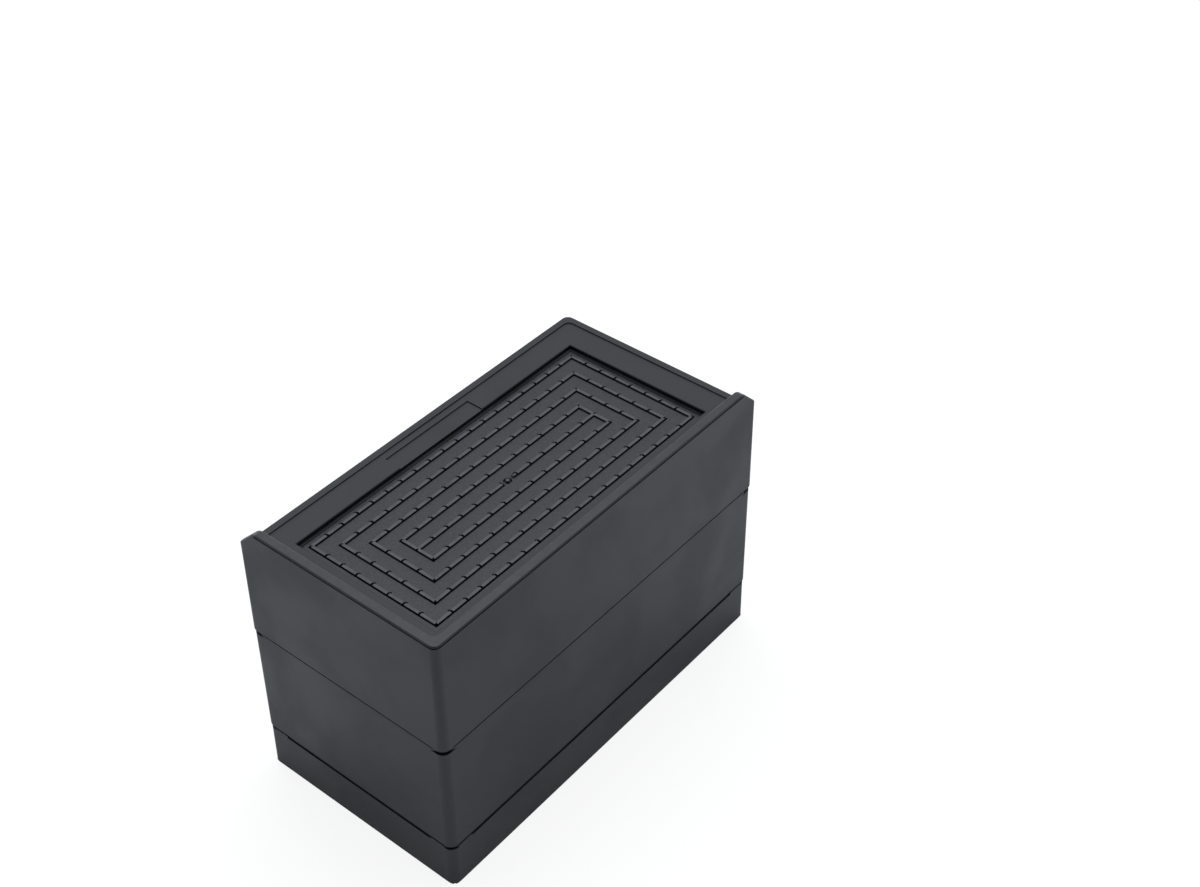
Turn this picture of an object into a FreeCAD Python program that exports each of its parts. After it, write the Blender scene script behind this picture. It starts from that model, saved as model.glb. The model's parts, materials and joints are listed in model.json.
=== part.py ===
import FreeCAD, Part
import math
import os
import Sketcher

# Bed riser in three stacked mouldings, in millimetres.
# The long axis is X and +Z is up. The origin is the middle of the footprint, on the floor.
# The raised lip runs along the -X short side and the -Y long side.

doc = FreeCAD.newDocument("BedRiser")

# Driving dimensions
SIZES = [
    ("overall_length", 240.0, "footprint along X"),
    ("overall_width", 128.0, "footprint along Y"),
    ("corner_radius", 4.5, "outer vertical corners, at the foot of each moulding"),
    ("draft_angle", 0.6, "outer walls lean in towards the top of each moulding, degrees"),
    ("base_height", 28.0, "base block, floor to lower seam"),
    ("middle_height", 69.0, "middle block, lower seam to upper seam"),
    ("tray_height", 52.0, "top tray, upper seam to deck"),
    ("outer_wall", 3.0, "outer walls at the open side"),
    ("rib_wall", 2.0, "ribs at the open side"),
    ("cell_limit", 23.0, "widest cell between two ribs"),
    ("base_floor", 5.0, "base block's bottom plate"),
    ("tray_floor", 3.5, "plate under the sunk tread"),
    ("tongue_height", 6.0, "locating rings at both ends of the middle block"),
    ("tongue_wall", 2.5, "locating ring's thickness"),
    ("socket_bite", 0.2, "seat of a locating ring, cut into the wall's inside"),
    ("fit_gap", 0.3, "clearance round the locating ring"),
    ("foot_chamfer", 1.2, "base block's bottom edge"),
    ("rebate_height", 1.2, "shadow line under the lower seam"),
    ("rebate_cut", 0.8, "depth of the shadow line into the wall"),
    ("rebate_stop", 10.0, "shadow line ends this far before the corner rounding"),
    ("lip_height", 16.0, "lip above the deck"),
    ("lip_wall", 5.0, "lip's thickness at its top"),
    ("lip_inner_radius", 3.5, "lip's inner corner in plan"),
    ("lip_edge_radius", 0.8, "top edges of the lip and outer edge of the rim"),
    ("ramp_foot", 3.0, "height of the lip's open ends above the deck"),
    ("ramp_angle", 45.0, "slope of the lip's open ends, degrees"),
    ("ramp_radius", 6.0, "rounding where the slope meets the lip's top"),
    ("rim_width", 4.7, "raised rim along the two low sides"),
    ("rim_height", 0.6, "rim above the deck"),
    ("recess_length", 200.0, "sunk tread along X"),
    ("recess_width", 90.0, "sunk tread along Y"),
    ("recess_chamfer", 0.35, "deck's edge round the sunk tread"),
    ("ledge_drop", 2.5, "deck down to the ledge round the tread"),
    ("ledge_width", 1.3, "ledge round the tread"),
    ("ledge_step", 0.5, "ledge down to the tread floor"),
    ("grid_pitch", 10.0, "spacing of the tread ridges and of their slits"),
    ("ridge_width", 1.7, "tread ridge"),
    ("ridge_height", 0.8, "tread ridge above the tread floor"),
    ("slit_width", 0.6, "slit across a ridge"),
    ("slit_sink", 0.8, "slit below the tread floor"),
    ("notch_reach", 1.8, "corner notch into a ridge, from the ridge's outer corner"),
    ("notch_overrun", 0.45, "corner notch past the ridge's outer corner"),
    ("gate_shift", 1.5, "tread's gate mark, from the middle towards -X"),
    ("gate_diameter", 4.6, "round sink of a gate mark"),
    ("gate_sink", 0.5, "depth of a gate mark"),
    ("nub_diameter", 2.0, "nub in the tread's gate mark"),
    ("nub_height", 1.2, "nub above the sink's floor"),
    ("pointer_length", 3.7, "pointed end of the centre ridge"),
    ("label_length", 60.0, "bare sunk field on the deck along X"),
    ("label_width", 10.3, "bare sunk field on the deck along Y"),
    ("label_sink", 0.6, "depth of the bare field"),
    ("groove_length", 200.0, "outer groove under the base along X, outside edge"),
    ("groove_span", 86.0, "outer groove under the base along Y, outside edge"),
    ("groove_spacing", 20.0, "outer groove to inner groove"),
    ("groove_width", 4.5, "width of each groove"),
    ("groove_cut", 1.8, "depth of each groove"),
]

sheet = doc.addObject("Spreadsheet::Sheet", "Sizes")
for row, (alias, value, note) in enumerate(SIZES, start=1):
    sheet.set("A%d" % row, note)
    sheet.set("B%d" % row, str(value))
    sheet.setAlias("B%d" % row, alias)
doc.recompute()

# Places that several features share, as expressions of the sheet
HALF_LENGTH = "Sizes.overall_length / 2"
HALF_WIDTH = "Sizes.overall_width / 2"
BASE_LEAN = "Sizes.base_height * tan(Sizes.draft_angle)"
CELL_STEP = "(Sizes.cell_limit + Sizes.rib_wall)"
COLUMNS = "ceil((Sizes.overall_length - Sizes.outer_wall * 2 + Sizes.rib_wall) / %s)" % CELL_STEP
ROWS = "ceil((Sizes.overall_width - Sizes.outer_wall * 2 + Sizes.rib_wall) / %s)" % CELL_STEP
LIP_TOP = "(Sizes.tray_height + Sizes.lip_height)"
RIM_TOP = "(Sizes.tray_height + Sizes.rim_height)"
TREAD_LEDGE = "(Sizes.tray_height - Sizes.ledge_drop)"
TREAD_FLOOR = "(Sizes.tray_height - Sizes.ledge_drop - Sizes.ledge_step)"
TRAY_FOOT = "Sizes.base_height + Sizes.middle_height"
HALF_RIDGE = "(Sizes.ridge_width / 2)"

# How far a cutting shape runs past the surface that it cuts, in millimetres
PAST = 2.0
# Places closer together than this are one place, in millimetres
SAME = 1e-3
# Two faces run smoothly into each other where the product of their normals is above this
SMOOTH = 0.94
# Step off an edge that tells an outside corner from an inside one, in millimetres
PROBE = 0.05


def number(expression):
    """Present value of an expression of the sheet's cells."""
    value = sheet.evalExpression(expression)
    return float(getattr(value, "Value", value))


def add_body(name, label, lift=None):
    """Empty body whose open or flat foot stands at the height that lift gives."""
    body = doc.addObject("PartDesign::Body", name)
    body.Label = label
    if lift:
        body.setExpression("Placement.Base.z", lift)
    return body


def origin_feature(body, role):
    """The body's own origin plane or axis with this role."""
    for feature in body.Origin.OriginFeatures:
        if feature.Role == role:
            return feature
    raise ValueError("no %s in %s" % (role, body.Name))


def add_sketch(body, name, height=None, role="XY_Plane"):
    """Sketch on one of the body's planes, lifted along the plane's normal by an expression."""
    sketch = body.newObject("Sketcher::SketchObject", name)
    sketch.AttachmentSupport = [(origin_feature(body, role), "")]
    sketch.MapMode = "FlatFace"
    if height:
        sketch.setExpression("AttachmentOffset.Base.z", height)
    return sketch


def name_value(sketch, index, name, expression):
    """Name one dimension of a sketch and tie it to the sheet."""
    sketch.renameConstraint(index, name)
    sketch.setExpression("Constraints.%s" % name, expression)


def place_point(sketch, edge, end, name, across, up):
    """Hold a point of the sketch at two distances from the sketch's origin."""
    for axis, expression in (("X", across), ("Y", up)):
        kind = "Distance%s" % axis
        index = sketch.addConstraint(Sketcher.Constraint(kind, -1, 1, edge, end, number(expression)))
        name_value(sketch, index, "%s_%s" % (name, axis.lower()), expression)


def add_outline(sketch, name, corners):
    """Closed straight-sided outline whose corners are pairs of expressions."""
    points = [FreeCAD.Vector(number(across), number(up), 0.0) for across, up in corners]
    count = len(points)
    edges = []
    for start, end in zip(points, points[1:] + points[:1]):
        edges.append(sketch.addGeometry(Part.LineSegment(start, end), False))
    for turn in range(count):
        sketch.addConstraint(Sketcher.Constraint("Coincident", edges[turn], 2, edges[(turn + 1) % count], 1))
    for turn, (across, up) in enumerate(corners):
        place_point(sketch, edges[turn], 1, "%s_%d" % (name, turn + 1), across, up)


def add_rectangle(sketch, name, left, right, low, high):
    """Rectangle with sharp corners, from the places of its four sides."""
    add_outline(sketch, name, [(left, low), (right, low), (right, high), (left, high)])


def add_rounded_rectangle(sketch, name, left, right, low, high, radius):
    """Rectangle with four equal round corners, from the places of its four sides."""
    x_low, x_high, y_low, y_high = [number(side) for side in (left, right, low, high)]
    bend = number(radius)
    straight = [
        ((x_low + bend, y_low), (x_high - bend, y_low)),
        ((x_high, y_low + bend), (x_high, y_high - bend)),
        ((x_high - bend, y_high), (x_low + bend, y_high)),
        ((x_low, y_high - bend), (x_low, y_low + bend)),
    ]
    centres = [
        (x_high - bend, y_low + bend),
        (x_high - bend, y_high - bend),
        (x_low + bend, y_high - bend),
        (x_low + bend, y_low + bend),
    ]
    lines = []
    arcs = []
    for start, end in straight:
        segment = Part.LineSegment(FreeCAD.Vector(*start, 0.0), FreeCAD.Vector(*end, 0.0))
        lines.append(sketch.addGeometry(segment, False))
    for turn, centre in enumerate(centres):
        circle = Part.Circle(FreeCAD.Vector(*centre, 0.0), FreeCAD.Vector(0, 0, 1), bend)
        begin = math.radians(90.0 * (turn - 1))
        arcs.append(sketch.addGeometry(Part.ArcOfCircle(circle, begin, begin + math.pi / 2), False))
    for turn in range(4):
        sketch.addConstraint(Sketcher.Constraint("Tangent", lines[turn], 2, arcs[turn], 1))
        sketch.addConstraint(Sketcher.Constraint("Tangent", arcs[turn], 2, lines[(turn + 1) % 4], 1))
    for turn, kind in enumerate(("Horizontal", "Vertical", "Horizontal", "Vertical")):
        sketch.addConstraint(Sketcher.Constraint(kind, lines[turn]))
    for turn in (1, 2, 3):
        sketch.addConstraint(Sketcher.Constraint("Equal", arcs[0], arcs[turn]))
    index = sketch.addConstraint(Sketcher.Constraint("Radius", arcs[0], bend))
    name_value(sketch, index, "%s_radius" % name, radius)
    sides = [("low", "Y", 0, low), ("right", "X", 1, right), ("high", "Y", 2, high), ("left", "X", 3, left)]
    for side, axis, turn, place in sides:
        kind = "Distance%s" % axis
        index = sketch.addConstraint(Sketcher.Constraint(kind, -1, 1, lines[turn], 1, number(place)))
        name_value(sketch, index, "%s_%s" % (name, side), place)


def add_circle(sketch, name, across, up, diameter):
    """Circle with its centre at two expressions."""
    centre = FreeCAD.Vector(number(across), number(up), 0.0)
    circle = Part.Circle(centre, FreeCAD.Vector(0, 0, 1), number(diameter) / 2.0)
    edge = sketch.addGeometry(circle, False)
    place_point(sketch, edge, 3, name, across, up)
    index = sketch.addConstraint(Sketcher.Constraint("Diameter", edge, number(diameter)))
    name_value(sketch, index, "%s_diameter" % name, diameter)


def centred(half_x, half_y, inset="0"):
    """Sides of a rectangle about the origin, moved in by an inset."""
    across = "(%s) - (%s)" % (half_x, inset)
    up = "(%s) - (%s)" % (half_y, inset)
    return "-(%s)" % across, across, "-(%s)" % up, up


def add_pad(body, sketch, name, length, taper=None):
    """Solid grown from a sketch along its plane's normal."""
    pad = body.newObject("PartDesign::Pad", name)
    pad.Profile = sketch
    pad.setExpression("Length", length)
    if taper:
        pad.setExpression("TaperAngle", taper)
    return pad


def add_pocket(body, sketch, name, depth, upward=False, taper=None):
    """Hollow cut from a sketch, against its plane's normal unless it goes upward."""
    pocket = body.newObject("PartDesign::Pocket", name)
    pocket.Profile = sketch
    pocket.Reversed = upward
    pocket.setExpression("Length", depth)
    if taper:
        pocket.setExpression("TaperAngle", taper)
    return pocket


def add_copies(body, feature, name, steps):
    """Repeat a feature: each step is a row (axis role, count, spacing) or a mirror (plane role)."""
    moves = []
    for turn, step in enumerate(steps, start=1):
        if len(step) == 3:
            axis, count, spacing = step
            if number(count) < 2:
                continue
            move = body.newObject("PartDesign::LinearPattern", "%s_row_%d" % (name, turn))
            move.Direction = (origin_feature(body, axis), [""])
            move.setExpression("Occurrences", count)
            move.setExpression("Length", "(%s - 1) * (%s)" % (count, spacing))
        else:
            move = body.newObject("PartDesign::Mirrored", "%s_mirror_%d" % (name, turn))
            move.MirrorPlane = (origin_feature(body, step[0]), [""])
        moves.append(move)
    copies = body.newObject("PartDesign::MultiTransform", name)
    copies.Originals = [feature]
    copies.Transformations = moves
    body.Tip = copies
    return copies


def add_fillet(body, feature, name, edges, radius):
    """Round the named edges of a feature."""
    fillet = body.newObject("PartDesign::Fillet", name)
    fillet.Base = (feature, edges)
    fillet.setExpression("Radius", radius)
    return fillet


def add_draft(body, feature, name, faces):
    """Lean the named faces in towards the top, from the body's foot."""
    draft = body.newObject("PartDesign::Draft", name)
    draft.Base = (feature, faces)
    draft.NeutralPlane = (origin_feature(body, "XY_Plane"), [""])
    draft.setExpression("Angle", "Sizes.draft_angle")
    return draft


def add_chamfer(body, feature, name, edges, size):
    """Bevel the named edges of a feature."""
    chamfer = body.newObject("PartDesign::Chamfer", name)
    chamfer.Base = (feature, edges)
    chamfer.setExpression("Size", size)
    return chamfer


def edges_at_height(feature, height):
    """Names of the edges that lie in one horizontal plane."""
    names = []
    for place, edge in enumerate(feature.Shape.Edges, start=1):
        box = edge.BoundBox
        if abs(box.ZMin - height) < SAME and abs(box.ZMax - height) < SAME:
            names.append("Edge%d" % place)
    return names


def upright(feature, kind):
    """Names of the edges or the faces that join two heights; kind is Edge or Face."""
    found = enumerate(getattr(feature.Shape, "%ss" % kind), start=1)
    return ["%s%d" % (kind, place) for place, item in found if item.BoundBox.ZLength > SAME]


def recess_edges(feature):
    """Names of the edges where the deck drops into the sunk tread."""
    half_x = number("Sizes.recess_length / 2") + SAME
    half_y = number("Sizes.recess_width / 2") + SAME
    names = []
    for name in edges_at_height(feature, number("Sizes.tray_height")):
        box = feature.Shape.getElement(name).BoundBox
        if max(-box.XMin, box.XMax) < half_x and max(-box.YMin, box.YMax) < half_y:
            names.append(name)
    return names


def outward_normal(face, point):
    """Outward unit normal of a face at a point on it."""
    return face.normalAt(*face.Surface.parameter(point))


def is_outside_corner(shape, edge):
    """True for a sharp edge where the solid is convex."""
    faces = shape.ancestorsOfType(edge, Part.Face)
    middle = edge.valueAt((edge.FirstParameter + edge.LastParameter) / 2.0)
    first, second = [outward_normal(face, middle) for face in faces]
    if first.dot(second) > SMOOTH:
        return False
    probe = middle + (first - second) * PROBE
    return not shape.isInside(probe, SAME, True)


def lip_and_rim_edges(feature):
    """Names of the edges that run round the top of the lip and along the rim's outside."""
    shape = feature.Shape
    rim_top = number(RIM_TOP)
    rim_line_x = number("%s - Sizes.rim_width / 2" % HALF_LENGTH)
    rim_line_y = number("%s - Sizes.rim_width / 2" % HALF_WIDTH)
    names = []
    for place, edge in enumerate(shape.Edges, start=1):
        box = edge.BoundBox
        if box.ZMin < rim_top - SAME or box.ZLength > SMOOTH * edge.Length:
            continue
        on_lip = box.ZMax > rim_top + SAME
        on_rim = box.XMax > rim_line_x or box.YMax > rim_line_y
        if (on_lip or on_rim) and is_outside_corner(shape, edge):
            names.append("Edge%d" % place)
    return names


def add_walls(body, height):
    """Drafted outer form of a moulding, with round corners."""
    sketch = add_sketch(body, "%s_outline" % body.Name)
    add_rectangle(sketch, "outline", *centred(HALF_LENGTH, HALF_WIDTH))
    block = add_pad(body, sketch, "%s_block" % body.Name, height)
    doc.recompute()
    walls = add_draft(body, block, "%s_walls" % body.Name, upright(block, "Face"))
    doc.recompute()
    corners = upright(walls, "Edge")
    return add_fillet(body, walls, "%s_corners" % body.Name, corners, "Sizes.corner_radius")


def add_tapered_walls(body, height):
    """Drafted outer form whose corners narrow with the height, which the lip's rounding needs."""
    sketch = add_sketch(body, "%s_outline" % body.Name)
    add_rounded_rectangle(sketch, "outline", *centred(HALF_LENGTH, HALF_WIDTH), "Sizes.corner_radius")
    return add_pad(body, sketch, "%s_walls" % body.Name, height, "-Sizes.draft_angle")


def add_ring(body, name, outer, inner, radius=None, height=None):
    """Sketch of a band between two rectangles, each inset from the footprint's sides."""
    sketch = add_sketch(body, name, height)
    sides = centred(HALF_LENGTH, HALF_WIDTH, outer)
    if radius:
        add_rounded_rectangle(sketch, "outer", *sides, radius)
    else:
        add_rectangle(sketch, "outer", *sides)
    add_rectangle(sketch, "inner", *centred(HALF_LENGTH, HALF_WIDTH, inner))
    return sketch


def cell_size(half_side, inset, count):
    """Side of one cell, where equal cells and the ribs between them fill the space in the walls."""
    return "(((%s - %s) * 2 + Sizes.rib_wall) / %s - Sizes.rib_wall)" % (half_side, inset, count)


def add_cells(body, inset, plane, depth, upward):
    """Rows of open cells that leave the outer wall and a lattice of ribs."""
    across = cell_size(HALF_LENGTH, inset, COLUMNS)
    along = cell_size(HALF_WIDTH, inset, ROWS)
    left = "-(%s - %s)" % (HALF_LENGTH, inset)
    low = "-(%s - %s)" % (HALF_WIDTH, inset)
    sketch = add_sketch(body, "%s_cell_outline" % body.Name, plane)
    add_rectangle(sketch, "cell", left, "%s + %s" % (left, across), low, "%s + %s" % (low, along))
    cell = add_pocket(body, sketch, "%s_cell" % body.Name, depth, upward)
    steps = [
        ("X_Axis", COLUMNS, "%s + Sizes.rib_wall" % across),
        ("Y_Axis", ROWS, "%s + Sizes.rib_wall" % along),
    ]
    return add_copies(body, cell, "%s_cells" % body.Name, steps)


def add_socket(body, name, inset, plane, upward):
    """Seat for a locating ring, cut through the ribs beside the outer wall."""
    inner = "%s + Sizes.tongue_wall + Sizes.fit_gap * 2" % inset
    sketch = add_ring(body, "%s_outline" % name, inset, inner, height=plane)
    return add_pocket(body, sketch, name, "Sizes.tongue_height + Sizes.fit_gap", upward)


def add_tongue(body, name, inset, seam, upward):
    """Locating ring that stands out of one end of a moulding, on a shoulder inside its wall."""
    inner = "%s + Sizes.fit_gap + Sizes.tongue_wall" % inset
    outer = "%s + Sizes.fit_gap" % inset
    in_wall = "Sizes.outer_wall / 2"
    bend = "Sizes.corner_radius - Sizes.outer_wall / 2"
    shoulder = add_ring(body, "%s_shoulder_outline" % name, in_wall, inner, bend, seam)
    step = add_pad(body, shoulder, "%s_shoulder" % name, "Sizes.tongue_height")
    step.Reversed = upward
    ring = add_ring(body, "%s_outline" % name, outer, inner, height=seam)
    tongue = add_pad(body, ring, name, "Sizes.tongue_height")
    tongue.Reversed = not upward
    return tongue


def add_gate(body, name, across, face, upward):
    """Round sink where the plastic entered the mould."""
    sketch = add_sketch(body, "%s_outline" % name, face)
    add_circle(sketch, "sink", across, "0", "Sizes.gate_diameter")
    return add_pocket(body, sketch, name, "Sizes.gate_sink", upward)


def add_rebate(body, name, along, across, plane, mirror):
    """Shadow line in the top outer edge of two facing walls, on the straight stretch only."""
    sketch = add_sketch(body, "%s_outline" % name, plane)
    reach = "%s - Sizes.corner_radius - Sizes.rebate_stop" % along
    near = "-(%s - %s - Sizes.rebate_cut)" % (across, BASE_LEAN)
    far = "-(%s + %s)" % (across, PAST)
    if mirror == "XZ_Plane":
        add_rectangle(sketch, "rebate", "-(%s)" % reach, reach, far, near)
    else:
        add_rectangle(sketch, "rebate", far, near, "-(%s)" % reach, reach)
    rebate = add_pocket(body, sketch, name, "Sizes.rebate_height")
    return add_copies(body, rebate, "%s_pair" % name, [(mirror,)])


def add_groove(body, name, step_in):
    """Rectangular groove in the bottom plate."""
    half_x = "Sizes.groove_length / 2"
    half_y = "Sizes.groove_span / 2"
    sketch = add_sketch(body, "%s_outline" % name)
    add_rectangle(sketch, "outside", *centred(half_x, half_y, step_in))
    add_rectangle(sketch, "inside", *centred(half_x, half_y, "%s + Sizes.groove_width" % step_in))
    return add_pocket(body, sketch, name, "Sizes.groove_cut", upward=True)


def build_base():
    """Base block: a plain grooved bottom plate, open above, with a shadow line at its top edge."""
    body = add_body("Base", "base_block")
    walls = add_walls(body, "Sizes.base_height")
    doc.recompute()
    add_chamfer(body, walls, "Base_foot", edges_at_height(walls, 0.0), "Sizes.foot_chamfer")
    top = "Sizes.base_height"
    inset = "(Sizes.outer_wall + %s)" % BASE_LEAN
    add_rebate(body, "Long_rebate", HALF_LENGTH, HALF_WIDTH, top, "XZ_Plane")
    add_rebate(body, "Short_rebate", HALF_WIDTH, HALF_LENGTH, top, "YZ_Plane")
    add_groove(body, "Outer_groove", "0")
    add_groove(body, "Inner_groove", "Sizes.groove_spacing")
    add_gate(body, "Base_gate", "0", "0", True)
    add_cells(body, inset, top, "Sizes.base_height - Sizes.base_floor", upward=False)
    add_socket(body, "Base_socket", "%s - Sizes.socket_bite" % inset, top, upward=False)
    return body


def build_middle():
    """Middle block: walls and ribs open at both ends, with a locating ring at each end."""
    body = add_body("Middle", "middle_block", "Sizes.base_height")
    add_walls(body, "Sizes.middle_height")
    add_cells(body, "Sizes.outer_wall", None, "Sizes.middle_height + %s" % PAST, upward=True)
    lower = "Sizes.outer_wall + %s - Sizes.socket_bite" % BASE_LEAN
    upper = "Sizes.outer_wall - Sizes.socket_bite"
    add_tongue(body, "Lower_tongue", lower, None, upward=False)
    add_tongue(body, "Upper_tongue", upper, "Sizes.middle_height", upward=True)
    return body


def add_lip(body):
    """Cut the space above the deck, which leaves the lip on two sides and the rim on the others."""
    lean = "%s * tan(Sizes.draft_angle)" % LIP_TOP
    fall = "(Sizes.lip_height - Sizes.rim_height)"
    narrowing = "%s * tan(Sizes.draft_angle)" % fall
    past = "(Sizes.corner_radius + Sizes.lip_inner_radius)"
    sketch = add_sketch(body, "Lip_outline", LIP_TOP)
    left = "-(%s - %s - Sizes.lip_wall)" % (HALF_LENGTH, lean)
    low = "-(%s - %s - Sizes.lip_wall)" % (HALF_WIDTH, lean)
    right = "%s + %s" % (HALF_LENGTH, past)
    high = "%s + %s" % (HALF_WIDTH, past)
    add_rounded_rectangle(sketch, "space", left, right, low, high, "Sizes.lip_inner_radius")
    add_pocket(body, sketch, "Lip", fall, taper="-Sizes.draft_angle")
    deck = add_sketch(body, "Deck_outline", RIM_TOP)
    deck_sides = (
        "%s + %s" % (left, narrowing),
        "%s - Sizes.rim_width" % HALF_LENGTH,
        "%s + %s" % (low, narrowing),
        "%s - Sizes.rim_width" % HALF_WIDTH,
    )
    add_rounded_rectangle(deck, "deck", *deck_sides, "Sizes.lip_inner_radius - %s" % narrowing)
    return add_pocket(body, deck, "Deck", "Sizes.rim_height", taper="-Sizes.draft_angle")


def add_ramp(body, name, role, half_side, span):
    """Slope cut from the open end of one leg of the lip."""
    run = "(Sizes.lip_height - Sizes.ramp_foot) / tan(Sizes.ramp_angle)"
    sketch = add_sketch(body, "%s_outline" % name, role=role)
    end = "%s + %s" % (half_side, PAST)
    above = "%s + %s" % (LIP_TOP, PAST)
    corners = [
        (end, "Sizes.tray_height + Sizes.ramp_foot - %s * tan(Sizes.ramp_angle)" % PAST),
        (end, above),
        ("%s - %s - %s / tan(Sizes.ramp_angle)" % (half_side, run, PAST), above),
    ]
    add_outline(sketch, "ramp", corners)
    ramp = add_pocket(body, sketch, name, "%s + %s" % (span, PAST))
    ramp.SideType = "Symmetric"
    return ramp


def slope_top_edges(feature):
    """Names of the straight edges across the lip where a slope meets its flat top."""
    run = number("(Sizes.lip_height - Sizes.ramp_foot) / tan(Sizes.ramp_angle)")
    places = (number(HALF_LENGTH) - run, number(HALF_WIDTH) - run)
    names = []
    for place, edge in enumerate(feature.Shape.Edges, start=1):
        box = edge.BoundBox
        level = abs(box.ZMin - number(LIP_TOP)) < SAME and box.ZLength < SAME
        across_y = box.XLength < SAME and abs(box.XMin - places[0]) < SAME
        across_x = box.YLength < SAME and abs(box.YMin - places[1]) < SAME
        if level and (across_x or across_y):
            names.append("Edge%d" % place)
    return names


def ring_count():
    """Ridge rectangles that fit in the tread, one grid step apart."""
    return int(number("Sizes.recess_width / 2 / Sizes.grid_pitch - 0.5") + 0.001)


def ridge_ring(turn):
    """Half length and half width of one rectangle of tread ridges, counted from the outside."""
    step = "Sizes.grid_pitch * %.1f" % (turn - 0.5)
    return "(Sizes.recess_length / 2 - %s)" % step, "(Sizes.recess_width / 2 - %s)" % step


def add_slit(name, across, up, turn=0.0, out=HALF_RIDGE, back=HALF_RIDGE):
    """Box that cuts one slit across a ridge at a point of the tread.

    The slit runs along Y before it is turned. It goes out and back from the point, so a notch
    that stops inside a ridge's corner is the same box with a shorter reach on one side.
    """
    slit = doc.addObject("Part::Box", name)
    slit.setExpression("Length", "Sizes.slit_width")
    slit.setExpression("Width", "%s + %s" % (out, back))
    slit.setExpression("Height", "Sizes.ridge_height + Sizes.slit_sink + %s" % PAST)
    slit.Placement.Rotation = FreeCAD.Rotation(FreeCAD.Vector(0, 0, 1), turn)
    cosine = math.cos(math.radians(turn))
    sine = math.sin(math.radians(turn))
    corner = ("Sizes.slit_width / 2", back)
    place_x = "%s - %s * %.6f + (%s) * %.6f" % (across, corner[0], cosine, corner[1], sine)
    place_y = "%s - %s * %.6f - (%s) * %.6f" % (up, corner[0], sine, corner[1], cosine)
    slit.setExpression("Placement.Base.x", place_x)
    slit.setExpression("Placement.Base.y", place_y)
    slit.setExpression("Placement.Base.z", "%s + %s - Sizes.slit_sink" % (TRAY_FOOT, TREAD_FLOOR))
    return slit


def row_places(half_side):
    """Places of the slits along one side of a ridge rectangle, between its corners."""
    count = int(number("%s * 2 / Sizes.grid_pitch" % half_side) + 0.001) - 1
    return ["Sizes.grid_pitch * %.1f" % (turn - (count - 1) / 2.0) for turn in range(count)]


def add_ring_slits(turn, half_x, half_y, meets_centre):
    """Slits and corner notches of one ridge rectangle."""
    slits = []
    for sign, side in ((-1, "left"), (1, "right")):
        for place, along in enumerate(row_places(half_x), start=1):
            name = "Long_slit_%d_%s_%d" % (turn, side, place)
            slits.append(add_slit(name, along, "(%s) * %d" % (half_y, sign)))
        for place, along in enumerate(row_places(half_y), start=1):
            name = "Short_slit_%d_%s_%d" % (turn, side, place)
            back = "0" if meets_centre else HALF_RIDGE
            slits.append(add_slit(name, "(%s) * %d" % (half_x, sign), along, -90.0 * sign, back=back))
    corner = "Sizes.ridge_width * %.6f" % math.sqrt(0.5)
    for place, (sign_x, sign_y) in enumerate(((1, 1), (-1, 1), (-1, -1), (1, -1)), start=1):
        name = "Notch_%d_%d" % (turn, place)
        across = "(%s) * %d" % (half_x, sign_x)
        up = "(%s) * %d" % (half_y, sign_y)
        aim = 90.0 * place - 135.0
        out = "%s + Sizes.notch_overrun" % corner
        back = "(Sizes.notch_reach - %s)" % corner
        slits.append(add_slit(name, across, up, aim, out, back))
    return slits


def add_slits():
    """Every slit of the tread as one tool."""
    slits = []
    rings = ring_count()
    for turn in range(1, rings + 1):
        slits += add_ring_slits(turn, *ridge_ring(turn), turn == rings)
    for place, along in enumerate(row_places(ridge_ring(rings)[0]), start=1):
        slits.append(add_slit("Centre_slit_%d" % place, along, "0"))
    tool = doc.addObject("Part::Compound", "Slits")
    tool.Links = slits
    return tool


def add_recess(body):
    """Hollow of the deck down to the ledge round the tread, with its edge bevelled."""
    sketch = add_sketch(body, "Recess_outline", "Sizes.tray_height")
    sides = centred("Sizes.recess_length / 2", "Sizes.recess_width / 2")
    add_rectangle(sketch, "recess", *sides)
    recess = add_pocket(body, sketch, "Recess", "Sizes.ledge_drop")
    doc.recompute()
    return add_chamfer(body, recess, "Recess_edge", recess_edges(recess), "Sizes.recess_chamfer")


def add_label_field(body):
    """Bare sunk field on the deck, open to the recess."""
    sketch = add_sketch(body, "Label_field_outline", "Sizes.tray_height")
    half_label = "Sizes.label_length / 2"
    near = "Sizes.recess_width / 2 - Sizes.ledge_width"
    far = "Sizes.recess_width / 2 + Sizes.label_width"
    add_rectangle(sketch, "field", "-(%s)" % half_label, half_label, near, far)
    return add_pocket(body, sketch, "Label_field", "Sizes.label_sink")


def add_tread(body):
    """Floor of the recess with nested rectangles of ridges."""
    floor = add_sketch(body, "Tread_outline", TREAD_LEDGE)
    half_x = "Sizes.recess_length / 2"
    half_y = "Sizes.recess_width / 2"
    add_rectangle(floor, "tread", *centred(half_x, half_y, "Sizes.ledge_width"))
    add_pocket(body, floor, "Tread", "Sizes.ledge_step")
    for turn in range(1, ring_count() + 1):
        ring_x, ring_y = ridge_ring(turn)
        ridge = add_sketch(body, "Ridge_%d_outline" % turn, TREAD_FLOOR)
        add_rectangle(ridge, "outside", *centred(ring_x, ring_y, "-%s" % HALF_RIDGE))
        add_rectangle(ridge, "inside", *centred(ring_x, ring_y, HALF_RIDGE))
        add_pad(body, ridge, "Ridge_%d" % turn, "Sizes.ridge_height")
    add_centre_ridge(body, ridge_ring(ring_count())[0])


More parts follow.
